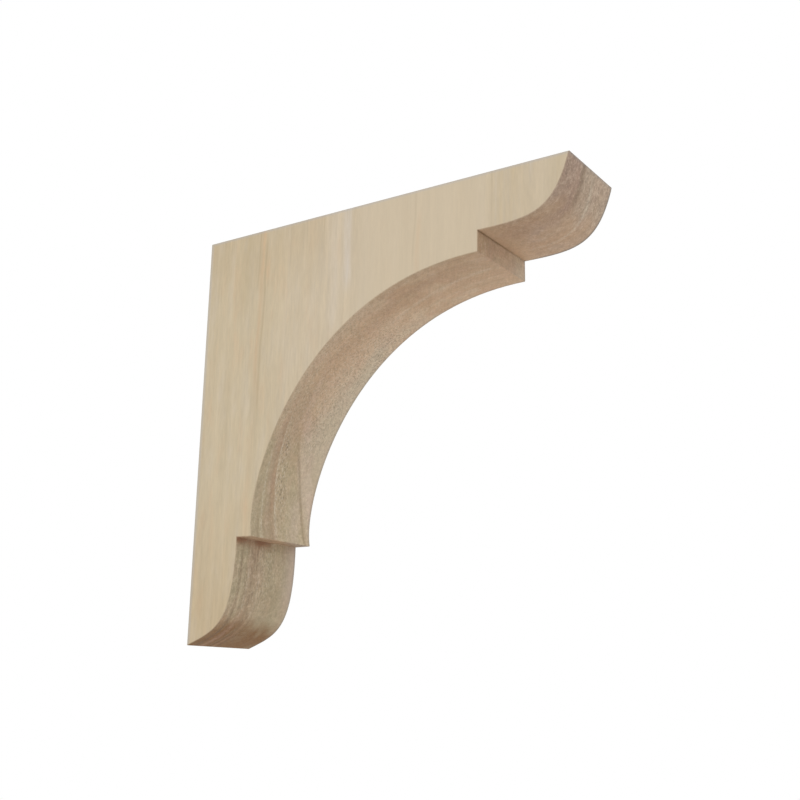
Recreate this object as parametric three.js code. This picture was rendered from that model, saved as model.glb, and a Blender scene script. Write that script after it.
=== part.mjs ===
// A wooden corbel bracket that carries the end of a shelf, a mantel or a worktop.
// It is one sawn block with a flat top and a flat back. The corner away from the wall is cut out
// in a long hollow arch. A square step at each end of the arch sets it off from a rounded nose
// at the outer end of the top, and from a rounded foot at the lower end of the back.
//
// Millimetres. +X points out from the wall, +Y runs across the width and +Z points up.
// The origin is the centre of the flat back, where the bracket meets the wall.
import * as THREE from "three";

// The block
const WIDTH = 44.45; // across the bracket, which is the thickness of the dressed board
const PROJECTION = 203.2; // from the wall to the tip of the nose
const DROP = 203.2; // from the top to the point of the foot
const ARRIS = 0.5; // the sharp edge that fine sanding takes off along both side faces

// The nose, under the outer end of the top
const NOSE_LENGTH = 44.4; // from the upper step to the tip
const NOSE_DEPTH = 26.5; // below the top, at the upper step
const UPPER_STEP = 10; // height of the square step between the nose and the arch

// The foot, at the lower end of the back
const FOOT_LENGTH = 49.9; // from the lower step to the point
const FOOT_DEPTH = 28; // out from the wall, at the lower step
const LOWER_STEP = 9; // width of the square step between the foot and the arch

// The way each curve turns, in degrees
const NOSE_RISE = 74.6; // how steeply the nose meets the top
const FOOT_TURN = 69; // how far the foot turns from upright on its way to the wall
const ARCH_FLARE = 13.5; // how far the arch leans out again where it meets the lower step

// How long each curve keeps its first and its last direction, as a share of its own run
const NOSE_PULL = { along: 0.58, up: 1.055 };
const FOOT_PULL = { down: 0.82, in: 0.707 };
const ARCH_PULL = { along: 0.79, down: 0.229 };

const STRETCHES = 40; // straight stretches in each curve

// The direction that leans by an angle from the first axis towards the second
function lean(degrees, first, second) {
  const angle = THREE.MathUtils.degToRad(degrees);
  return first.clone().multiplyScalar(Math.cos(angle)).addScaledVector(second, Math.sin(angle));
}

// A smooth curve on from the outline's last point. It leaves in one direction, keeps to it for
// the first pull, and arrives at its end in another direction after keeping to that one.
function curveTo(outline, leaving, firstPull, end, arriving, lastPull) {
  const first = outline.currentPoint.clone().addScaledVector(leaving, firstPull);
  const last = end.clone().addScaledVector(arriving, -lastPull);
  outline.bezierCurveTo(first.x, first.y, last.x, last.y, end.x, end.y);
}

// The side view of the bracket: out from the wall, and up
function sideOutline() {
  const out = new THREE.Vector2(1, 0);
  const up = new THREE.Vector2(0, 1);
  const inward = new THREE.Vector2(-1, 0);
  const down = new THREE.Vector2(0, -1);

  const top = DROP / 2;
  const bottom = -DROP / 2;
  const upperStep = PROJECTION - NOSE_LENGTH;
  const lowerStep = bottom + FOOT_LENGTH;
  const noseUnderside = top - NOSE_DEPTH;
  const archCrown = noseUnderside - UPPER_STEP;
  const legFace = FOOT_DEPTH + LOWER_STEP;

  const outline = new THREE.Shape();
  outline.moveTo(0, bottom);
  outline.lineTo(0, top);
  outline.lineTo(PROJECTION, top);

  // The nose, from the tip back and down to the upper step
  const noseEnd = new THREE.Vector2(upperStep, noseUnderside);
  const fromTip = lean(NOSE_RISE, inward, down);
  curveTo(outline, fromTip, NOSE_PULL.up * NOSE_DEPTH, noseEnd, inward, NOSE_PULL.along * NOSE_LENGTH);
  outline.lineTo(upperStep, archCrown);

  // The arch, from the upper step in towards the wall and down to the lower step
  const archRun = upperStep - legFace;
  const archFall = archCrown - lowerStep;
  const archEnd = new THREE.Vector2(legFace, lowerStep);
  const flared = lean(ARCH_FLARE, down, out);
  curveTo(outline, inward, ARCH_PULL.along * archRun, archEnd, flared, ARCH_PULL.down * archFall);
  outline.lineTo(FOOT_DEPTH, lowerStep);

  // The foot, from the lower step down to its point at the wall
  const footEnd = new THREE.Vector2(0, bottom);
  const toPoint = lean(FOOT_TURN, down, inward);
  curveTo(outline, down, FOOT_PULL.down * FOOT_LENGTH, footEnd, toPoint, FOOT_PULL.in * FOOT_DEPTH);
  return outline;
}

// The outline sawn through the whole width, with both side faces' edges eased
function bracketGeometry() {
  const straightWidth = WIDTH - 2 * ARRIS;
  const geometry = new THREE.ExtrudeGeometry(sideOutline(), {
    depth: straightWidth,
    curveSegments: STRETCHES,
    bevelEnabled: true,
    bevelThickness: ARRIS,
    bevelSize: ARRIS,
    bevelOffset: -ARRIS,
    bevelSegments: 1,
  });
  return geometry.translate(0, 0, -straightWidth / 2);
}

const sandedHardwood = new THREE.MeshStandardMaterial({
  color: 0xc7b698,
  roughness: 0.62,
  metalness: 0,
});

const bracket = new THREE.Mesh(bracketGeometry(), sandedHardwood);
bracket.name = "corbel_bracket";
bracket.rotation.x = Math.PI / 2; // the outline is drawn flat and then stood upright

const corbel = new THREE.Group();
corbel.add(bracket);

export default corbel;
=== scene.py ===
# %% [markdown]
# # A wooden corbel bracket
#
# A corbel carries the end of a shelf or a mantel. This one is a single block of pale hardwood,
# sawn to a pattern: a flat back for the wall, a flat top for the shelf, and a long hollow arch
# between a rounded nose and a rounded foot. The lesson saws it out as a joiner would, from a
# drawn pattern, eases its edges, and then spends most of its length on the wood.
#
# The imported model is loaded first. It is the fixed frame that everything is measured from.

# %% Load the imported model
import math

import bmesh
import bpy
from mathutils import Matrix, Vector


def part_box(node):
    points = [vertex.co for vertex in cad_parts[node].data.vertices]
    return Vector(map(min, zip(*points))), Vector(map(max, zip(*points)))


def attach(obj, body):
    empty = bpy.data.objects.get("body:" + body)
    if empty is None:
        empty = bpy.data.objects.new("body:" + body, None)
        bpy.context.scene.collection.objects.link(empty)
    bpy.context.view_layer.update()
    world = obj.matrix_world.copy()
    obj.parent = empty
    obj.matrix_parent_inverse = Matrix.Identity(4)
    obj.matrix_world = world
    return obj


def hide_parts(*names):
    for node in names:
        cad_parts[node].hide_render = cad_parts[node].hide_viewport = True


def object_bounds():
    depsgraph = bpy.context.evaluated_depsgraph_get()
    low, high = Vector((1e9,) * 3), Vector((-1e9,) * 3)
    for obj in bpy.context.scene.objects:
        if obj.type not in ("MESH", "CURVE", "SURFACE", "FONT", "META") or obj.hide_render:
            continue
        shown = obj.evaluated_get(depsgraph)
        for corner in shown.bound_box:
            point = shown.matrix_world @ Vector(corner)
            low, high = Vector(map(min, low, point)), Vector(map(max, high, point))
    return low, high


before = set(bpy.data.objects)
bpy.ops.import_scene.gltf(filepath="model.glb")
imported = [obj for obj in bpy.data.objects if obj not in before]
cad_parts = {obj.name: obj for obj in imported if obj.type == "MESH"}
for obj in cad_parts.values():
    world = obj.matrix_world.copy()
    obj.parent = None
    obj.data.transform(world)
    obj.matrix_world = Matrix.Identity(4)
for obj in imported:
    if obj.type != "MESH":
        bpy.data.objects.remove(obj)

cad_low, cad_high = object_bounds()
print("packed nodes:", list(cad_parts))

# %% [markdown]
# ## The sizes of the block
#
# The block's length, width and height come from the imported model, so the sawn piece can't drift
# from it. The steps and curves have their own sizes, in metres. Each curve is remembered by the
# direction it has at its end and by how long it keeps to it, which is how a draughtsman bends a
# batten between two points.

# %% Sizes
low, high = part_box("corbel_bracket")
TIP = high.x  # how far the nose reaches from the wall
TOP = high.z
POINT = low.z  # the level of the foot's lower end
NEAR = low.y  # the side face that the camera sees
WIDTH = high.y - low.y

NOSE_LENGTH, NOSE_DEPTH = 0.0444, 0.0265
FOOT_LENGTH, FOOT_DEPTH = 0.0499, 0.028
UPPER_STEP, LOWER_STEP = 0.010, 0.009

# The angle that each sweep has at its leaning end, in degrees
NOSE_RISE, ARCH_FLARE, FOOT_TURN = 74.6, 13.5, 69
# How long each sweep keeps to its direction, at its upper and then its lower end, as a share of
# the sweep's own length or depth
NOSE_KEEPS = 1.055, 0.58
ARCH_KEEPS = 0.79, 0.229
FOOT_KEEPS = 0.82, 0.707

STEP_OUT = TIP - NOSE_LENGTH  # the upper step's distance from the wall
NOSE_FLAT = TOP - NOSE_DEPTH
CROWN = NOSE_FLAT - UPPER_STEP  # where the arch starts, under the arm
STEP_UP = POINT + FOOT_LENGTH  # the lower step's level
LEG = FOOT_DEPTH + LOWER_STEP  # where the arch ends, on the leg
print(f"block {TIP * 1000:.1f} x {WIDTH * 1000:.2f} x {(TOP - POINT) * 1000:.1f} mm")

# %% [markdown]
# ## Drawing the pattern
#
# The joiner's pattern is a thin board with the side view drawn on it. Here it is a closed Bézier
# curve, added and then given one point for each corner. A handle that lies on its own point makes
# a straight line, and a long handle makes a sweep, so three sweeps need no more than two handles
# each. A row of many small points would give the same outline, but nobody could change it.


# %% Draw the pattern
def leaning(degrees, first, second):
    """The direction that leans by an angle from the first one towards the second."""
    angle = math.radians(degrees)
    return math.cos(angle) * Vector(first) + math.sin(angle) * Vector(second)


OUT, IN, DOWN = (1, 0), (-1, 0), (0, -1)
still = Vector((0, 0))
arch_run, arch_fall = STEP_OUT - LEG, CROWN - STEP_UP

# Each corner of the pattern: its place, the handle behind it and the handle ahead of it
corners = [
    ((0, POINT), -FOOT_KEEPS[1] * FOOT_DEPTH * leaning(FOOT_TURN, DOWN, IN), still),
    ((0, TOP), still, still),
    ((TIP, TOP), still, NOSE_KEEPS[0] * NOSE_DEPTH * leaning(NOSE_RISE, IN, DOWN)),
    ((STEP_OUT, NOSE_FLAT), NOSE_KEEPS[1] * NOSE_LENGTH * Vector(OUT), still),
    ((STEP_OUT, CROWN), still, ARCH_KEEPS[0] * arch_run * Vector(IN)),
    ((LEG, STEP_UP), -ARCH_KEEPS[1] * arch_fall * leaning(ARCH_FLARE, DOWN, OUT), still),
    ((FOOT_DEPTH, STEP_UP), still, FOOT_KEEPS[0] * FOOT_LENGTH * Vector(DOWN)),
]


def on_near_face(flat):
    return Vector((flat[0], NEAR, flat[1]))


bpy.ops.object.select_all(action="DESELECT")
bpy.ops.curve.primitive_bezier_curve_add(location=(0, 0, 0))
corbel = bpy.context.object
corbel.name = "sawn_corbel"
corbel.data.dimensions = "3D"
corbel.data.resolution_u = 56
pattern = corbel.data.splines[0]
pattern.bezier_points.add(len(corners) - len(pattern.bezier_points))
pattern.use_cyclic_u = True
for knot, (place, behind, ahead) in zip(pattern.bezier_points, corners):
    place = Vector(place)
    knot.handle_left_type = knot.handle_right_type = "FREE"
    knot.co = on_near_face(place)
    knot.handle_left = on_near_face(place + behind)
    knot.handle_right = on_near_face(place + ahead)
print("pattern corners:", len(pattern.bezier_points))

# %% [markdown]
# ## Sawing it out
#
# The curve is made a mesh, and the needless points along its straight edges are dissolved. The
# outline is filled to make the near side face, and that face is pushed through the width of the
# board. Pushing a face through is the bandsaw's cut: every section across the bracket is alike.

# %% Saw the block
SAME_PLACE = 1e-6  # points nearer than this are one point, in metres

bpy.ops.object.convert(target="MESH")
bpy.ops.object.mode_set(mode="EDIT")
bpy.ops.mesh.select_all(action="SELECT")
bpy.ops.mesh.remove_doubles(threshold=SAME_PLACE)
bpy.ops.mesh.dissolve_limited(angle_limit=math.radians(0.02))
bpy.ops.mesh.select_all(action="SELECT")
bpy.ops.mesh.edge_face_add()
bpy.ops.mesh.extrude_region_move(TRANSFORM_OT_translate={"value": (0, WIDTH, 0)})
bpy.ops.mesh.select_all(action="SELECT")
bpy.ops.mesh.normals_make_consistent(inside=False)
bpy.ops.object.mode_set(mode="OBJECT")
print("sawn faces:", len(corbel.data.polygons), "size", [round(d * 1000, 2) for d in corbel.dimensions])

# %% [markdown]
# ## Easing the edges
#
# A sawn edge is too sharp to handle, so the joiner takes it off with a few strokes of fine paper.
# That leaves a rounding of about half a millimetre, which is what catches the light along the
# arch. The edges that turn inwards, in the two steps, can't be reached and stay crisp, and so does
# the nose's upper edge, which the shelf covers. So the sharp edges are picked first, and those
# three are left out by their place.

# %% Ease the arrises
ARRIS = 0.00045
CRISP_CORNERS = [(STEP_OUT, NOSE_FLAT), (FOOT_DEPTH, STEP_UP), (TIP, TOP)]


def stays_crisp(edge):
    """True for an edge that runs across the bracket at one of the crisp corners."""
    a, b = (v.co for v in edge.verts)
    across = abs(a.y - b.y) > WIDTH / 2
    return across and any((Vector((a.x, a.z)) - Vector(c)).length < 1e-4 for c in CRISP_CORNERS)


bpy.ops.object.mode_set(mode="EDIT")
bpy.ops.mesh.select_mode(type="EDGE")
bpy.ops.mesh.select_all(action="DESELECT")
bpy.ops.mesh.edges_select_sharp(sharpness=math.radians(25))
block = bmesh.from_edit_mesh(corbel.data)
for edge in block.edges:
    if stays_crisp(edge):
        edge.select = False
bmesh.update_edit_mesh(corbel.data)
bpy.ops.mesh.bevel(offset=ARRIS, segments=3, affect="EDGES", clamp_overlap=True)
bpy.ops.mesh.select_all(action="SELECT")
bpy.ops.mesh.remove_doubles(threshold=SAME_PLACE)
bpy.ops.object.mode_set(mode="OBJECT")
bpy.ops.object.shade_smooth_by_angle(angle=math.radians(35))
bpy.ops.object.modifier_add(type="WEIGHTED_NORMAL")
corbel.modifiers[-1].keep_sharp = True
bpy.ops.object.modifier_apply(modifier=corbel.modifiers[-1].name)
print("eased faces:", len(corbel.data.polygons), "size", [round(d * 1000, 2) for d in corbel.dimensions])

# %% [markdown]
# ## A workbench for the finish
#
# The wood is one material, worked out from the place of each point in the block, as real grain
# is. A picture of wood could be wrapped round the bracket instead, but the grain would break at
# every edge. The sum takes many small steps, so a few short helpers lay the nodes and join them.

# %% Nodes and sums
wood = bpy.data.materials.new("bare_hardwood")
wood.use_nodes = True
bench = wood.node_tree
bench.nodes.clear()


def lay(kind, feeds, **settings):
    """A new node with its settings, fed by numbers, colours or other nodes' outputs."""
    node = bench.nodes.new(kind)
    for name, value in settings.items():
        setattr(node, name, value)
    for socket, value in feeds.items():
        target = node.inputs[socket]
        if isinstance(value, bpy.types.NodeSocket):
            bench.links.new(value, target)
        else:
            target.default_value = value
    return node


def sum_of(operation, *values, clamp=False):
    """One step of arithmetic on numbers or outputs."""
    node = lay("ShaderNodeMath", dict(enumerate(values)), operation=operation, use_clamp=clamp)
    return node.outputs[0]


def add(a, b):
    return sum_of("ADD", a, b)


def less(a, b):
    return sum_of("SUBTRACT", a, b)


def times(first, *others):
    """The product of all that it is given."""
    product = first
    for other in others:
        product = sum_of("MULTIPLY", product, other)
    return product


def larger(a, b):
    return sum_of("MAXIMUM", a, b)


print("bench ready for", wood.name)

# %% [markdown]
# ## Places, soft steps and clouds
#
# Grain is thought of in millimetres, so the place is turned into millimetres first. A soft step
# says where a finish begins and ends, a line is two such steps back to back, and a cloud is smooth
# noise, which is stretched or squeezed by stretching the place that is put into it.

# %% Places and masks
MM = 1000
where = lay("ShaderNodeTexCoord", {})
in_mm = lay(
    "ShaderNodeVectorMath",
    {0: where.outputs["Object"], 1: (MM, MM, MM)},
    operation="MULTIPLY",
)
out_mm, across_mm, up_mm = lay("ShaderNodeSeparateXYZ", {0: in_mm.outputs[0]}).outputs
facing_out, facing_across, facing_up = lay(
    "ShaderNodeSeparateXYZ", {0: where.outputs["Normal"]}
).outputs


def rise(value, start, end):
    """A soft step from 0 to 1 as the value goes from start to end. Start may be the larger."""
    feeds = {"Value": value, "From Min": start, "From Max": end, "To Min": 0.0, "To Max": 1.0}
    return lay("ShaderNodeMapRange", feeds, interpolation_type="SMOOTHSTEP").outputs["Result"]


def line(depth, middle_of_line, half):
    """1 in the middle of a streak, falling to 0 at half its width."""
    return rise(sum_of("ABSOLUTE", less(depth, middle_of_line)), half, 0.0)


def between(lowest, highest, soft=14.0):
    """1 between two heights, softened at both ends."""
    return times(rise(up_mm, lowest, lowest + soft), rise(up_mm, highest, highest - soft))


def cloud(out_scale, across_scale, up_scale, detail=2.0, roughness=0.5):
    """Smooth noise about 0, with that many lumps to a millimetre each way."""
    place = (times(out_mm, out_scale), times(across_mm, across_scale), times(up_mm, up_scale))
    return cloud_at(place, detail, roughness)


def cloud_at(place, detail=2.0, roughness=0.5):
    """Smooth noise about 0 at a place of three numbers or outputs, one unit to a lump."""
    spot = lay("ShaderNodeCombineXYZ", dict(enumerate(place))).outputs[0]
    feeds = {"Vector": spot, "Scale": 1.0, "Detail": detail, "Roughness": roughness}
    return less(lay("ShaderNodeTexNoise", feeds, noise_dimensions="3D").outputs[0], 0.5)


print("places in the block are read in millimetres")

# %% [markdown]
# ## Stains
#
# The finish is built up as a stainer would, one thin colour over another. A tint lays a share of a
# colour over what is there, and a shade makes it lighter or darker. The colours are written as
# they look on a screen, and turned into the straight numbers that a shader wants.

# %% Tints, shades and paints


def tint(share, under, over):
    """The under colour, with that share of the over colour on it."""
    node = lay("ShaderNodeMix", {0: share, 6: under, 7: over}, data_type="RGBA")
    return node.outputs[2]


def shade(colour, factor):
    """The colour made lighter or darker by a factor."""
    return lay("ShaderNodeVectorMath", {0: colour, "Scale": factor}, operation="SCALE").outputs[0]


def paint(*screen_colour):
    """A colour given as it looks on a screen, from 0 to 255, as the shader wants it."""
    def straight(c):
        c /= 255
        return c / 12.92 if c <= 0.04045 else ((c + 0.055) / 1.055) ** 2.4

    return (*(straight(c) for c in screen_colour), 1.0)


print("a middle grey of 128 is", round(paint(128, 128, 128)[0], 3), "to the shader")

# %% [markdown]
# ## Which way the wood was cut
#
# The grain stands upright in the bracket. A side face is planed along the grain. The lower arch
# and the front of the foot are shaped along the grain too, but rougher. The top of the arch and
# the underside of the nose cut across the fibres and show end grain, which is browner and has no
# streaks. So the finish first asks each point which way it faces. Between a side face and a shaped
# one lies the eased edge, which is a finish of its own.

# %% Kinds of cut
sideways = sum_of("ABSOLUTE", facing_across)
steep = sum_of("ABSOLUTE", facing_up)
planed = rise(sideways, 0.9, 0.98)
eased = times(rise(sideways, 0.15, 0.4), rise(sideways, 0.98, 0.9))
on_arch = rise(out_mm, 156.0, 140.0)
far_side = times(rise(across_mm, -8.0, 18.0), on_arch)
patches = cloud(0.06, 0.09, 0.06)
end_grain = rise(add(less(steep, times(far_side, 0.3)), times(patches, 0.6)), 0.3, 0.68)
slanted = times(rise(steep, 0.3, 0.55), rise(steep, 0.97, 0.8), on_arch)
print("cuts: planed side, eased edge, shaped long grain, end grain")

# %% [markdown]
# ## Growth rings
#
# Growth rings are bands through the thickness of the board. On the foot they run straight up, and
# on the arch they lean over more and more as they climb. One number, the ring, says how deep in
# the tree a point lies, in millimetres, and all that follows the rings is worked out from it. Two
# clouds of noise push it about, a broad one and a fine one, because no ring is drawn with a ruler.
# The thin lines later on are pushed less, so they keep a depth of their own.

# %% Depth in the rings
RINGS_LEAN_FROM = -54.0  # the height above which the rings lean
RINGS_LEAN = 0.0128
slow_wave = cloud(0.05, 0.08, 0.045)
fine_wave = cloud(0.6, 0.7, 0.22)
lift = larger(less(up_mm, RINGS_LEAN_FROM), 0.0)
fan = add(0.75, times(across_mm, 0.035))
still_ring = add(across_mm, times(lift, lift, RINGS_LEAN, fan))
ring = add(still_ring, add(times(slow_wave, 5.0), times(fine_wave, 1.6)))
line_ring = add(still_ring, add(times(slow_wave, 1.4), times(fine_wave, 1.6)))
print("rings lean above", RINGS_LEAN_FROM, "mm")

# %% [markdown]
# ## Fibres and grit
#
# Fibres are noise stretched along the grain. Grit is the torn, speckled surface that a cutter
# leaves where it doesn't run with the fibres, and it is the same in every direction. Saw lines are
# the faint slanting scratches of coarse paper, and chatter is the row of small ticks that the
# cutter's knives leave across the long grain.

# %% Fibres, grit, saw lines and chatter


def streaks(side, through, along, wide, long, detail=3.0, roughness=0.65):
    """Noise about 0, in streaks so many millimetres wide and long."""
    place = (times(side, 1 / wide), times(through, 1 / wide), times(along, 1 / long))
    return cloud_at(place, detail, roughness)


planed_fibres = streaks(out_mm, across_mm, up_mm, 3.4, 60.0, detail=6.0, roughness=0.82)
shaped_fibres = streaks(ring, times(out_mm, 0.5), up_mm, 1.5, 12.0)
foot_fibres = streaks(across_mm, times(out_mm, 0.4), up_mm, 1.0, 8.0, detail=2.0)
grit = cloud(0.4, 0.4, 0.3, detail=5.0, roughness=0.82)
fine_grit = cloud(1.1, 1.1, 0.9)
chatter = cloud(0.3, 0.32, 1.2, detail=1.0)
along_scratch = add(across_mm, times(out_mm, 1.5))
across_scratch = less(across_mm, times(out_mm, 0.6))
scratched = (times(along_scratch, 0.6), times(across_scratch, 0.1), times(up_mm, 0.14))
saw_lines = cloud_at(scratched, detail=3.0, roughness=0.65)
print("fibres: planed, shaped and on the foot; grit, saw lines and chatter over them")

# %% [markdown]
# ## Pores and flecks
#
# This hardwood is full of pores, fine tubes that a cutter opens. They are small cells, long along
# the grain and round across it, so one field of them gives dashes on the leg and dots on the arm.
# A cell pattern gives each cell a chance, and only the lucky ones are opened. Pale flecks are a
# second field, beside the first.

# %% Pores and flecks


def pits(across_scale, out_scale, up_scale, shift, chance_from, chance_to):
    """1 in the middle of some cells of a pattern, 0 between them."""
    place = (times(across_mm, across_scale), times(out_mm, out_scale), times(up_mm, up_scale))
    spot = lay("ShaderNodeCombineXYZ", {0: place[0], 1: place[1], 2: add(place[2], shift)})
    feeds = {"Vector": spot.outputs[0], "Scale": 1.0}
    cells = lay("ShaderNodeTexVoronoi", feeds, feature="F1")
    chance = lay("ShaderNodeSeparateColor", {0: cells.outputs["Color"]}).outputs[0]
    return times(rise(cells.outputs["Distance"], 0.58, 0.22), rise(chance, chance_from, chance_to))


pores = pits(1.25, 1.1, 0.55, 0.0, 0.25, 0.5)
flecks = pits(1.3, 1.2, 0.6, 5.3, 0.35, 0.65)
print("pores are about 0.8 mm apart and 1.8 mm long")

# %% [markdown]
# ## The planed side face
#
# Planed hardwood is pale and quiet. Its colour drifts slowly over the board, in lanes that run
# with the grain and lean a little. Some lanes are olive, some chalky and some peach. The middle
# of the arm is the quietest wood, and the lanes by the wall and at the nose are the liveliest.

# %% Side face
STRAW = paint(206, 189, 159)
CREAM = paint(210, 193, 166)
OLIVE = paint(190, 172, 138)
CHALK = paint(214, 204, 193)
HONEY = paint(190, 164, 124)
PEACH = paint(210, 180, 145)

board_wave = cloud_at((times(out_mm, 0.02), 3.0, times(up_mm, 0.018)))
lane = add(add(out_mm, times(up_mm, -0.02)), times(board_wave, 5.0))
bands = cloud_at((times(lane, 0.16), 7.0, times(up_mm, 0.008)), detail=3.0)
lively = larger(rise(lane, 100.0, 84.0), rise(lane, 156.0, 166.0))
side_colour = tint(rise(lane, 34.0, 70.0), STRAW, CREAM)
band_share = add(0.25, times(lively, 0.75))
side_colour = tint(times(rise(bands, -0.05, 0.2), band_share, 0.16), side_colour, OLIVE)
side_colour = tint(times(rise(bands, -0.04, -0.2), band_share, 0.12), side_colour, CHALK)
# Painted shade: the side face is darker and warmer towards the bottom and by the top, where the light
# falls off.
side_colour = tint(times(rise(up_mm, -20.0, -100.0), 0.4), side_colour, HONEY)
by_the_top = times(rise(out_mm, 110.0, 50.0), rise(up_mm, 60.0, 92.0))
side_colour = tint(times(by_the_top, 0.2), side_colour, HONEY)

glow = cloud_at((times(lane, 0.13), 17.0, times(up_mm, 0.035)), detail=3.0, roughness=0.6)
near_wall = times(add(0.3, times(rise(out_mm, 110.0, 40.0), 0.7)), add(0.4, times(lively, 0.6)))
side_colour = tint(times(rise(glow, 0.0, 0.22), near_wall, 0.34), side_colour, PEACH)
side_colour = tint(times(rise(glow, 0.0, -0.22), near_wall, 0.16), side_colour, CHALK)
print("side face: six stains in lanes")

# %% [markdown]
# ## Streaks on the side
#
# A few streaks stand out on the side face. Each is a line of the table: its colour, its distance
# from the wall, half its width, the heights it runs between, and how strong it is. A table is
# easy to compare with a real board, streak by streak.

# %% Streaks on the side face
RUST = paint(209, 172, 134)
UMBER = paint(172, 150, 116)

SIDE_STREAKS = [
    (OLIVE, 23.5, 7.0, 55.0, 130.0, 0.5),
    (CHALK, 15.0, 2.0, 50.0, 110.0, 0.15),
    (UMBER, 31.5, 0.9, 66.0, 140.0, 0.6),
    (RUST, 33.6, 2.3, 16.0, 140.0, 0.5),
    (RUST, 33.6, 2.6, -70.0, 30.0, 0.22),
    (UMBER, 35.8, 1.1, 0.0, 100.0, 0.6),
    (RUST, 37.6, 1.8, 68.0, 92.0, 0.7),
    (OLIVE, 66.0, 8.0, 56.0, 130.0, 0.35),
    (UMBER, 72.4, 0.7, 72.0, 130.0, 0.4),
    (CHALK, 79.0, 4.5, 36.0, 120.0, 0.3),
    (CHALK, 86.5, 4.6, 56.0, 150.0, 0.8),
    (UMBER, 123.8, 0.9, 60.0, 140.0, 0.25),
    (RUST, 126.0, 2.2, 50.0, 96.0, 0.25),
    (UMBER, 164.3, 0.7, 70.0, 140.0, 0.4),
    (CHALK, 166.4, 1.0, 60.0, 140.0, 0.4),
    (OLIVE, 172.0, 13.0, 60.0, 150.0, 0.5),
    (HONEY, 178.0, 24.0, 60.0, 150.0, 0.16),
    (CHALK, 183.5, 1.6, 84.0, 140.0, 0.5),
    (OLIVE, 196.0, 8.0, 70.0, 150.0, 0.5),
    (RUST, 8.5, 3.2, -92.0, -70.0, 0.5),
    (OLIVE, 27.0, 5.0, -60.0, -30.0, 0.35),
]
broken = add(0.55, times(planed_fibres, 3.0))
for stain, distance, half, lowest, highest, strength in SIDE_STREAKS:
    streak = times(line(lane, distance, half), between(lowest, highest))
    side_colour = tint(times(streak, broken, strength), side_colour, stain)
print("streaks on the side face:", len(SIDE_STREAKS))

# %% [markdown]
# ## Fibres on the side
#
# Last come the fibres, fine lines that make the side lighter and darker. The long ones follow the
# lively lanes. The short ones are everywhere, and are only just to be seen.

# %% Fibres on the side face
short_fibres = streaks(out_mm, across_mm, up_mm, 1.1, 7.0)
fibre_depth = add(0.22, times(lively, 0.22))
side_colour = shade(side_colour, add(1.0, times(planed_fibres, fibre_depth)))
side_colour = shade(side_colour, add(1.0, times(short_fibres, add(0.08, times(lively, 0.12)))))
print("fibres are on the side face")

# %% [markdown]
# ## The shaped faces along the grain
#
# The arch, the nose and the foot were cut with a spindle cutter, which leaves the pores open and
# the surface a little rough. The growth rings show here as soft zones of moss, clay and sand, in a
# colour ramp whose stops are depths in the rings.

# %% Ring colours
MOSS = paint(186, 168, 136)
CLAY = paint(181, 157, 128)
SAND = paint(189, 168, 137)
SHELL = paint(200, 180, 154)
DOVE = paint(191, 172, 147)

RING_ZONES = [
    (-24.0, MOSS), (-15.0, MOSS), (-11.0, CLAY), (-6.0, CLAY), (-2.0, SAND), (3.0, MOSS),
    (9.0, MOSS), (16.0, MOSS), (19.0, SAND), (22.0, SHELL), (28.0, SHELL), (36.0, SAND),
    (48.0, DOVE),
]
first_ring, last_ring = RING_ZONES[0][0], RING_ZONES[-1][0]
share_in = sum_of("DIVIDE", less(ring, first_ring), last_ring - first_ring, clamp=True)
ramp = lay("ShaderNodeValToRGB", {0: share_in})
stops = ramp.color_ramp.elements
for depth, _ in RING_ZONES[1:-1]:
    stops.new((depth - first_ring) / (last_ring - first_ring))
for stop, (depth, stain) in zip(stops, RING_ZONES):
    stop.color = stain
zone_colour = ramp.outputs["Color"]
shaped_colour = shade(zone_colour, add(1.0, times(shaped_fibres, 0.32)))
print("ring zones:", len(RING_ZONES))

# %% [markdown]
# ## End grain on the arm
#
# Where the cut crosses the fibres, their open ends drink in the light, so the wood looks browner.
# Underneath, it is paler again. A broad brown patch lies along the middle of the arm. Further out
# a few faint lines, pale and brown, run along the arm, broken up by the torn fibre ends.

# %% End grain of the arm
END = paint(188, 152, 118)
END_PALE = paint(203, 173, 142)
BONE = paint(217, 203, 179)
WALNUT = paint(150, 116, 88)

end_colour = tint(rise(add(steep, times(patches, 0.5)), 1.0, 0.86), END, END_PALE)
end_colour = tint(times(rise(across_mm, -12.0, 22.0), 0.3), end_colour, END_PALE)
PATCH_OUT, PATCH_ACROSS = 88.0, -7.0  # the middle of the brown patch
PATCH_LONG, PATCH_WIDE = 42.0, 9.0
patch_out = times(less(out_mm, PATCH_OUT), 1 / PATCH_LONG)
patch_across = times(less(across_mm, PATCH_ACROSS), 1 / PATCH_WIDE)
patch_reach = sum_of("SQRT", add(times(patch_out, patch_out), times(patch_across, patch_across)))
end_colour = tint(times(rise(patch_reach, 1.3, 0.3), 0.6), end_colour, END)
arm_bands = cloud(0.02, 0.42, 0.02, detail=4.0)
end_colour = shade(end_colour, add(1.0, times(arm_bands, 0.34)))
on_arm = times(rise(out_mm, 90.0, 108.0), rise(out_mm, 157.0, 150.0))
ARM_LINES_TURN, ARM_LINES_LEAN = 140.0, 0.07  # where their places are measured, and their slant
arm_across = less(across_mm, times(less(ARM_LINES_TURN, out_mm), ARM_LINES_LEAN))
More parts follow.
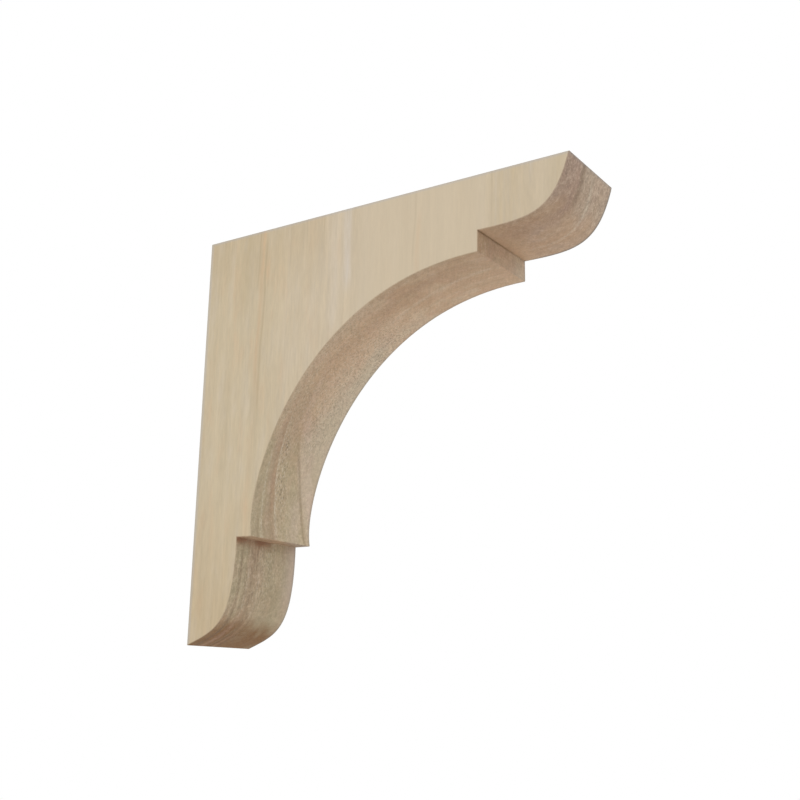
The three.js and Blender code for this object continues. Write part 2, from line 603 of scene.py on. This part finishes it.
# Each line along the arm: its colour, its place across, half its width and its strength
ARM_LINES = [
    (WALNUT, -11.0, 4.5, 0.26),
    (BONE, -0.2, 2.2, 0.34),
    (WALNUT, 4.6, 1.8, 0.08),
    (BONE, 9.2, 2.0, 0.16),
    (WALNUT, 13.2, 2.8, 0.2),
]
for stain, place_across, half, strength in ARM_LINES:
    arm_line = times(line(arm_across, place_across, half), on_arm, rise(grit, -0.3, 0.15))
    end_colour = tint(times(arm_line, strength), end_colour, stain)
end_colour = tint(0.15, end_colour, zone_colour)
print("end grain of the arm: a patch, bands and", len(ARM_LINES), "lines")

# %% [markdown]
# ## End grain under the foot
#
# The foot's lower end is the darkest part of the bracket. The cut there is steep and coarse end
# grain, which is browner, and the brown is also painted shade, as little light reaches it from
# below. The brown begins at a ragged level, lower on the near side. Saw lines go over all the end
# grain, and then it takes its place beside the long grain.

# %% End grain of the foot
END_DARK = paint(134, 93, 46)

BROWN_FROM, BROWN_BELOW = -76.0, -95.0  # the heights where the brown begins and is full
foot_level = add(less(up_mm, times(across_mm, 0.2)), times(patches, 8.0))
foot_end = rise(foot_level, BROWN_FROM, BROWN_BELOW)
# End grain's own brown and painted shade under the foot, laid together.
end_colour = tint(times(foot_end, 0.95), end_colour, END_DARK)
end_colour = shade(end_colour, add(1.0, times(saw_lines, 0.45)))
cut_colour = tint(end_grain, shaped_colour, end_colour)
print("end grain of the foot: brown from", BROWN_FROM, "mm down")

# %% [markdown]
# ## The nose and the step above the arch
#
# The nose is browner than the arch, and its front is a dull mauve on the near side and taupe on
# the far one. Its underside is paler beside the step. The step's own small face is painted browner,
# and it is greyer at its far end.

# %% Nose and upper step
COCOA = paint(180, 143, 113)
MAUVE = paint(180, 152, 134)
TAUPE = paint(186, 164, 142)
FAWN = paint(206, 174, 142)
MIST = paint(200, 184, 158)
SLATE = paint(128, 124, 114)
STEP_OUT_MM, STEP_UP_MM, TOP_MM = STEP_OUT * MM, STEP_UP * MM, TOP * MM

under_top = rise(facing_up, 0.6, 0.3)
on_nose = times(rise(out_mm, 160.0, 174.0), under_top)
nose_front = times(on_nose, rise(add(steep, times(patches, 1.2)), 0.95, 0.35))
below_top = less(TOP_MM, up_mm)
NOSE_DARK_START, NOSE_DARK_LEAN = -6.2, 0.14  # where the dark line is at the top, and its slant
nose_dark = less(across_mm, add(NOSE_DARK_START, times(below_top, NOSE_DARK_LEAN)))
front_colour = tint(rise(nose_dark, -1.0, 3.0), MAUVE, TAUPE)
cut_colour = tint(times(on_nose, 0.4), cut_colour, COCOA)
cut_colour = tint(times(nose_front, 0.8), cut_colour, front_colour)

past_step = rise(out_mm, STEP_OUT_MM, STEP_OUT_MM + 0.4)
by_the_step = times(rise(out_mm, 170.0, 160.0), past_step, under_top)
fawn_share = add(0.3, times(rise(across_mm, 5.0, -18.0), 0.45))
cut_colour = tint(times(by_the_step, rise(steep, 0.6, 0.9), fawn_share), cut_colour, FAWN)
step_face = times(line(out_mm, STEP_OUT_MM, 1.6), rise(steep, 0.99, 0.9))
cut_colour = tint(times(step_face, 0.6), cut_colour, COCOA)
cut_colour = tint(times(step_face, rise(across_mm, 0.0, 16.0), 0.4), cut_colour, MIST)
cut_colour = tint(times(step_face, rise(across_mm, 6.0, 12.0), 0.14), cut_colour, SLATE)
print("nose and step: five pale browns and a grey")

# %% [markdown]
# ## Where the thin lines run
#
# A few thin lines run between the zones, sharper than the rest. Most lie at a depth in the rings.
# The long dark line on the arch has a bend of its own, and the two lines on the nose lean as they
# go down. Each line stays within one part of the bracket, and fades where the cut turns to end
# grain. It is torn by the grit, made of specks, or broken into dashes.

# %% Courses and textures of the lines
off_nose = times(less(1.0, on_nose), less(1.0, times(end_grain, 0.6)))
on_leg = times(rise(out_mm, 31.0, 35.0), on_arch)
off_wall = rise(facing_out, -0.5, -0.1)
on_foot = times(rise(up_mm, STEP_UP_MM + 1.0, STEP_UP_MM - 1.0), off_wall)
lower_foot = times(rise(up_mm, -78.0, -90.0), rise(facing_out, -0.9, -0.7))
ARCH_LINE_START, ARCH_LINE_LEAN, ARCH_LINE_BEND = 18.3, 0.128, 0.00577
lean_in = add(times(lift, ARCH_LINE_LEAN), times(lift, lift, ARCH_LINE_BEND))
arch_line = add(less(across_mm, less(ARCH_LINE_START, lean_in)), times(fine_wave, 1.2))
NOSE_PALE_START, NOSE_PALE_LEAN = 2.0, 0.3
nose_pale = less(across_mm, add(NOSE_PALE_START, times(below_top, NOSE_PALE_LEAN)))

torn = add(0.7, times(grit, 2.4))
specks = add(0.12, times(rise(cloud(1.1, 1.4, 0.6, roughness=0.6), -0.04, 0.12), 0.88))
dashes = rise(cloud(1.2, 1.5, 0.34, roughness=0.6), -0.02, 0.1)
print("the arch's dark line starts", ARCH_LINE_START, "mm across")

# %% [markdown]
# ## The table of lines
#
# Each row is one line: its colour, what its depth is measured by, where it lies, half its width,
# the heights it runs between, the part it stays within, its texture, and how strong it is. The
# broad rows are not lines but soft patches, and it costs nothing to keep them in the same table.

# %% Lines over the shaped faces
ASH = paint(201, 180, 165)
BARK = paint(152, 128, 100)
UMBER_CLAY = paint(172, 143, 117)
INK = paint(136, 117, 90)
NUT = paint(165, 128, 100)
PEAT = paint(98, 70, 48)
ROSE = paint(198, 160, 138)
RUSSET = paint(183, 139, 106)

RING_LINES = [
    # On the arch and the leg
    (BARK, line_ring, -17.2, 1.6, -130.0, -30.0, off_nose, torn, 0.6),
    (BONE, line_ring, -14.6, 1.5, -62.0, -4.0, off_nose, specks, 0.75),
    (BARK, line_ring, -8.3, 1.9, -130.0, -2.0, off_nose, torn, 0.5),
    (CLAY, line_ring, -7.6, 3.4, -40.0, 24.0, off_nose, torn, 0.4),
    (RUSSET, line_ring, -6.6, 3.2, -50.0, 28.0, off_nose, torn, 0.36),
    (SHELL, across_mm, -22.0, 5.0, -60.0, -20.0, on_leg, torn, 0.3),
    (BARK, line_ring, -12.4, 0.9, -84.0, -44.0, off_nose, torn, 0.2),
    (UMBER_CLAY, across_mm, -10.0, 11.0, -18.0, 24.0, on_leg, torn, 0.55),
    (BONE, line_ring, -3.8, 1.6, -62.0, 16.0, off_nose, specks, 0.9),
    (SHELL, line_ring, -10.6, 1.4, -60.0, 10.0, off_nose, specks, 0.5),
    (ASH, arch_line, 8.0, 6.5, -56.0, 14.0, on_leg, torn, 0.6),
    (ASH, across_mm, 9.5, 8.0, -75.0, -22.0, on_leg, torn, 0.55),
    (INK, arch_line, 0.0, 1.9, -64.0, 4.0, on_leg, torn, 0.72),
    (RUSSET, across_mm, -1.0, 7.0, -24.0, 14.0, on_leg, torn, 0.32),
    (SHELL, across_mm, 6.0, 6.0, -20.0, 22.0, on_leg, torn, 0.2),
    (SHELL, across_mm, -21.0, 5.0, -4.0, 72.0, on_arch, torn, 0.42),
    # On the foot
    (BONE, line_ring, -11.8, 1.2, -96.0, -50.0, on_foot, specks, 0.5),
    (BONE, line_ring, -4.2, 1.4, -96.0, -50.0, on_foot, specks, 0.45),
    (INK, line_ring, -17.4, 1.6, -92.0, -50.0, on_foot, dashes, 0.6),
    (INK, line_ring, -13.4, 1.3, -92.0, -50.0, on_foot, dashes, 0.6),
    (INK, line_ring, -9.6, 1.1, -92.0, -50.0, on_foot, dashes, 0.45),
    (INK, line_ring, -6.4, 1.5, -88.0, -50.0, on_foot, dashes, 0.6),
    (INK, line_ring, -1.6, 2.0, -76.0, -50.0, on_foot, dashes, 0.6),
    (NUT, across_mm, 5.0, 9.0, -96.0, -66.0, on_foot, torn, 0.26),
    (PEAT, line_ring, -7.4, 1.5, -120.0, -84.0, lower_foot, torn, 0.5),
    (PEAT, line_ring, -2.9, 1.1, -120.0, -86.0, lower_foot, torn, 0.45),
    (MOSS, across_mm, -1.0, 12.0, -103.5, -76.0, on_foot, torn, 0.4),
    (PEAT, line_ring, -17.0, 1.4, -120.0, -78.0, lower_foot, torn, 0.6),
    (ROSE, line_ring, -12.4, 2.8, -120.0, -84.0, lower_foot, torn, 0.45),
    (ROSE, line_ring, -5.2, 1.4, -120.0, -84.0, lower_foot, torn, 0.35),
    # On the nose
    (NUT, across_mm, -9.5, 10.0, 66.0, 101.0, on_nose, torn, 0.44),
    (BARK, across_mm, 13.0, 5.0, 80.0, 100.0, on_nose, dashes, 0.75),
    (NUT, across_mm, 1.0, 4.0, 78.0, 100.0, on_nose, torn, 0.35),
    (SHELL, across_mm, -22.0, 5.0, 60.0, 92.0, on_nose, torn, 0.25),
    (INK, nose_dark, -0.4, 3.0, 76.0, 130.0, on_nose, torn, 0.72),
    (BONE, nose_dark, 3.4, 2.2, 78.0, 130.0, on_nose, specks, 0.15),
    (INK, nose_pale, -1.7, 1.0, 76.0, 98.0, on_nose, dashes, 0.4),
    (BONE, nose_pale, 0.0, 1.1, 70.0, 106.0, on_nose, torn, 0.32),
    (BONE, nose_pale, 0.3, 1.9, 70.0, 104.0, on_nose, specks, 0.6),
]
for stain, depth, at_depth, half, lowest, highest, within, texture, strength in RING_LINES:
    course = times(line(depth, at_depth, half), between(lowest, highest))
    cut_colour = tint(times(course, within, texture, strength), cut_colour, stain)
print("lines and patches on the shaped faces:", len(RING_LINES))

# %% [markdown]
# ## Mottle and grit
#
# The shaped faces are mottled in fern and rose, in patches with soft edges. Then comes the grit.
# Its dark specks shade the wood and its light ones are bone. It is strongest where the cut slants
# across the fibres, on the far half of the arch, and weakest under the foot. Chatter goes over the
# long grain, and torn fibres over the near half of the foot.

# %% Mottle, grit and chatter
FERN = paint(180, 167, 134)

blotch = cloud(0.12, 0.15, 0.1, detail=1.0)
cut_colour = tint(times(rise(blotch, -0.02, 0.2), off_nose, 0.22), cut_colour, FERN)
cut_colour = tint(times(rise(blotch, 0.0, -0.22), less(1.0, foot_end), 0.14), cut_colour, ROSE)

rough_cut = times(slanted, add(0.4, times(far_side, 0.6)))
near_half = rise(across_mm, 8.0, -6.0)
torn_foot = times(on_foot, add(0.32, times(near_half, 0.46)))
grit_depth = add(add(0.76, times(less(1.0, end_grain), 0.54)), times(rough_cut, 0.5))
grit_depth = add(grit_depth, add(times(nose_front, 0.95), larger(times(on_nose, 0.6), torn_foot)))
both_grits = add(times(grit, 0.92), times(fine_grit, 0.3))
speckle = times(both_grits, grit_depth, less(1.0, times(foot_end, 0.45)))
cut_colour = shade(cut_colour, add(1.0, times(speckle, 0.6)))
light_specks = times(larger(speckle, 0.0), less(0.9, times(foot_end, 0.75)))
cut_colour = tint(light_specks, cut_colour, BONE)

long_cut = times(less(1.0, end_grain), less(1.0, times(on_nose, 0.5)))
cut_colour = shade(cut_colour, add(1.0, times(chatter, long_cut, 0.26)))
fibres_here = times(on_foot, rise(across_mm, 6.0, -4.0), less(1.0, times(foot_end, 0.5)))
cut_colour = shade(cut_colour, add(1.0, times(foot_fibres, fibres_here, 0.7)))
print("mottle, grit, chatter and torn fibres are on")

# %% [markdown]
# ## Open pores
#
# The pores show most beside the pale line on the arch, where the wood is soft, and on the rough
# far half. Under the foot the grain is crushed, and they close.

# %% Pores over the shaped faces
by_the_pale_line = add(0.35, times(between(-40.0, 6.0), 0.65))
near_pale_line = times(line(line_ring, 2.0, 8.0), less(1.0, end_grain), by_the_pale_line)
pore_depth = add(0.08, times(larger(near_pale_line, times(rough_cut, 0.7)), 0.42))
pore_depth = times(pore_depth, less(1.0, times(foot_end, 0.9)))
cut_colour = shade(cut_colour, less(1.0, times(pores, pore_depth)))
cut_colour = tint(times(flecks, pore_depth, 1.6), cut_colour, BONE)
print("pores and flecks are on")

# %% [markdown]
# ## Pale far side, darker ends
#
# The board is paler towards its far side, where the arch takes a misty bloom and the foot an ashen
# one. The nose and the foot are painted a little darker than the arch all over, as painted shade.

# %% Broad light and dark
far_bloom = times(rise(across_mm, 4.0, 20.0), between(-34.0, 42.0), on_leg)
cut_colour = tint(times(far_bloom, 0.38), cut_colour, MIST)
far_foot = times(on_foot, rise(across_mm, 10.0, 21.0), less(1.0, foot_end))
cut_colour = tint(times(far_foot, 0.5), cut_colour, ASH)
# Painted shade: the nose and the foot are made a little darker all over.
darker = less(1.0, add(times(on_nose, 0.08), times(on_foot, 0.11)))
paler_far = times(across_mm, 0.0042, less(1.0, times(on_foot, 0.8)))
cut_colour = shade(cut_colour, times(darker, add(1.03, paler_far)))
print("far side paler, nose and foot darker")

# %% [markdown]
# ## The corners of the steps
#
# The inner corner of the upper step is painted with a thin brown line of shade. Below the lower
# step the top of the foot is painted brown for a few millimetres, most of all on its near half, as
# painted shade under the step. The step's small underside lies in its own shade at the far end.

# %% Painted shade in the corners of the steps
SHADE_IN_CORNER = paint(126, 97, 70)
BELOW_STEP_SHADE = paint(150, 112, 84)


def near_corner(distance_out, height, reach):
    """1 on a line across the bracket, falling to 0 at a reach in millimetres."""
    a, b = less(out_mm, distance_out * MM), less(up_mm, height * MM)
    return rise(sum_of("SQRT", add(times(a, a), times(b, b))), reach, 0.0)


facing_down = rise(steep, 0.6, 0.9)
# Painted shade below the lower step: the top of the foot is made brown, most of all on its near half.
shade_below_step = times(near_corner(FOOT_DEPTH, STEP_UP, 5.5), add(0.75, times(patches, 4.0)))
shade_below_step = times(shade_below_step, add(0.25, times(rise(across_mm, 14.0, -6.0), 0.75)))
shade_below_step = times(shade_below_step, less(1.0, times(facing_down, 0.7)))
cut_colour = tint(shade_below_step, cut_colour, BELOW_STEP_SHADE)
under_step = times(line(up_mm, STEP_UP_MM, 1.2), facing_down, rise(across_mm, -2.0, 22.0))
cut_colour = shade(cut_colour, less(1.0, times(under_step, 0.3)))
# Painted shade: a thin brown line in the inner corner of the upper step.
corner_shade = times(near_corner(STEP_OUT, NOSE_FLAT, 1.0), add(0.28, times(rise(across_mm, 14.0, -6.0), 0.34)))
cut_colour = tint(corner_shade, cut_colour, SHADE_IN_CORNER)
print("corners: one dusty, one shaded")

# %% [markdown]
# ## Edges
#
# The eased edges are painted a little paler, a painted highlight where they catch the light. Where
# an edge is turned away, it is painted grey instead, as painted shade, and so are the rims at the
# top, at the wall and along the far side. Now the side colour and the cut colour are laid together,
# each on its own faces, and the edges go over both.

# %% Painted highlight on edges, painted shade on grey rims
EDGE = paint(205, 186, 158)
LEAD = paint(128, 121, 114)
PEWTER = paint(184, 184, 184)
STONE = paint(156, 152, 148)

cut_face = less(1.0, planed)
colour = tint(planed, cut_colour, side_colour)
# Painted highlight: the eased edges are made paler.
colour = tint(times(eased, 0.38), colour, EDGE)
# Painted shade: eased edges that face up, towards the wall or to the far side are made grey.
turned_away = larger(rise(facing_up, 0.1, 0.4), rise(facing_out, -0.1, -0.4))
turned_away = larger(turned_away, rise(facing_across, 0.1, 0.4))
colour = tint(times(eased, turned_away, 0.38), colour, LEAD)
# Painted shade: grey rims along the far side, at the top of the nose, and at the top and back of the
# side face.
far_rim = times(rise(across_mm, 20.2, 21.4), cut_face)
colour = tint(times(far_rim, add(0.3, times(on_nose, 0.35))), colour, LEAD)
top_rim = rise(up_mm, TOP_MM - 1.8, TOP_MM - 0.6)
very_top = rise(up_mm, TOP_MM - 0.8, TOP_MM)
nose_rim = times(on_nose, cut_face, add(times(top_rim, 0.2), times(very_top, 0.3)))
colour = tint(nose_rim, colour, STONE)
back_rim = rise(out_mm, 2.4, 1.0)
colour = tint(times(larger(top_rim, back_rim), planed, 0.38), colour, PEWTER)
print("rims: far, top and back")

# %% [markdown]
# ## The surface itself
#
# Bare wood is dull, with a faint sheen along the planed fibres. The fibres, the grit and the pores
# stand up or lie down by a few hundredths of a millimetre, which a bump is enough for: cut into
# the mesh, they would be too fine to see and too many to carry. The finished block then takes the
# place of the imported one.

# %% Surface of the wood
BUMP_DEPTH = 0.0002  # metres, at full strength
relief = lay("ShaderNodeMix", {0: planed, 2: less(grit, times(pores, 0.3)), 3: planed_fibres})
skin = lay(
    "ShaderNodeBump",
    {"Strength": 0.6, "Distance": BUMP_DEPTH, "Height": relief.outputs[0]},
)
surface = lay(
    "ShaderNodeBsdfPrincipled",
    {
        "Base Color": colour,
        "Roughness": add(0.64, times(planed_fibres, 0.3)),
        "Normal": skin.outputs[0],
    },
)
surface.inputs["Specular IOR Level"].default_value = 0.35
lay("ShaderNodeOutputMaterial", {"Surface": surface.outputs[0]})
corbel.data.materials.clear()
corbel.data.materials.append(wood)

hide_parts("corbel_bracket")
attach(corbel, "root")
print("wood nodes:", len(bench.nodes))

# %% [markdown]
# ## The camera
#
# The camera stands in front of the near side, a little below the bracket, and looks up at it. Its
# three axes are worked out from the azimuth, the elevation and a slight roll, because a camera
# that only points at a target can't roll.

# %% Camera
FRAME_PIXELS = 800
SENSOR = 36.0
FOCAL_PIXELS = 1147.4
AZIMUTH, ELEVATION, ROLL = (math.radians(v) for v in (34.159, -14.273, 1.088))
CAMERA_PLACE = Vector((0.39435, -0.42715, -0.12105))

level = Vector((math.cos(AZIMUTH), math.sin(AZIMUTH), 0))
back = math.cos(ELEVATION) * Vector((math.sin(AZIMUTH), -math.cos(AZIMUTH), 0))
back.z = math.sin(ELEVATION)
upright = back.cross(level)
right = math.cos(ROLL) * level + math.sin(ROLL) * upright
above = math.cos(ROLL) * upright - math.sin(ROLL) * level
turned = Matrix((right, above, back)).transposed().to_4x4()

bpy.ops.object.select_all(action="DESELECT")
bpy.ops.object.camera_add()
camera = bpy.context.object
camera.matrix_world = Matrix.Translation(CAMERA_PLACE) @ turned
camera.data.sensor_width = SENSOR
camera.data.lens = FOCAL_PIXELS * SENSOR / FRAME_PIXELS
camera.data.clip_start, camera.data.clip_end = 0.01, 50
bpy.context.scene.camera = camera
print(f"lens {camera.data.lens:.1f} mm")

# %% [markdown]
# ## The floor
#
# The bracket hangs in the air, as it would on a wall, so the pale floor lies far below it. It is a
# wide disc.

# %% Floor
FLOOR_LEVEL, FLOOR_RADIUS = -1.0, 7

bpy.ops.object.select_all(action="DESELECT")
bpy.ops.mesh.primitive_circle_add(
    vertices=96, radius=FLOOR_RADIUS, fill_type="NGON", location=(0, 0, FLOOR_LEVEL)
)
floor = bpy.context.object
floor.name = "studio_floor"
pale = bpy.data.materials.new("pale_floor")
pale.use_nodes = True
floor_surface = pale.node_tree.nodes["Principled BSDF"]
floor_surface.inputs["Base Color"].default_value = (0.86, 0.86, 0.86, 1)
floor_surface.inputs["Roughness"].default_value = 0.9
floor.data.materials.append(pale)
print("floor", FLOOR_LEVEL, "m below the bracket's middle")

# %% [markdown]
# ## Room and lamp
#
# An even white room lights the bracket from all round, and one large soft lamp adds a little from
# the near side, so the side face is brighter than the arch. The room is pure white to the camera
# and slightly dimmer as a light, which keeps the backdrop clean without bleaching the wood.

# %% Room and lamp
ROOM_LIGHT = 0.84
LAMP_PLACE, LAMP_SIZE, LAMP_POWER = (0.0, -1.4, 0.45), 1.2, 3.0  # metres, metres and watts

room = bpy.data.worlds.new("white_room")
bpy.context.scene.world = room
room.use_nodes = True
bench = room.node_tree  # from here on, nodes are laid for the room
bench.nodes.clear()
seen = lay("ShaderNodeBackground", {"Color": (1, 1, 1, 1), "Strength": 1.0})
lit = lay("ShaderNodeBackground", {"Color": (1, 1, 1, 1), "Strength": ROOM_LIGHT})
rays = lay("ShaderNodeLightPath", {})
both = lay(
    "ShaderNodeMixShader",
    {0: rays.outputs["Is Camera Ray"], 1: lit.outputs[0], 2: seen.outputs[0]},
)
lay("ShaderNodeOutputWorld", {"Surface": both.outputs[0]})


def softbox(name, place, aim, size, power):
    """A square lamp at a place, facing a point."""
    bpy.ops.object.select_all(action="DESELECT")
    bpy.ops.object.light_add(type="AREA", location=place)
    lamp = bpy.context.object
    lamp.name = name
    lamp.data.size = size
    lamp.data.energy = power
    lamp.rotation_mode = "QUATERNION"
    lamp.rotation_quaternion = (Vector(aim) - Vector(place)).to_track_quat("-Z", "Y")
    return lamp


middle = (cad_low + cad_high) / 2
lamp = softbox("side_softbox", LAMP_PLACE, middle, LAMP_SIZE, LAMP_POWER)
bpy.context.scene.view_settings.view_transform = "Standard"
print(lamp.name, lamp.data.energy, "W")
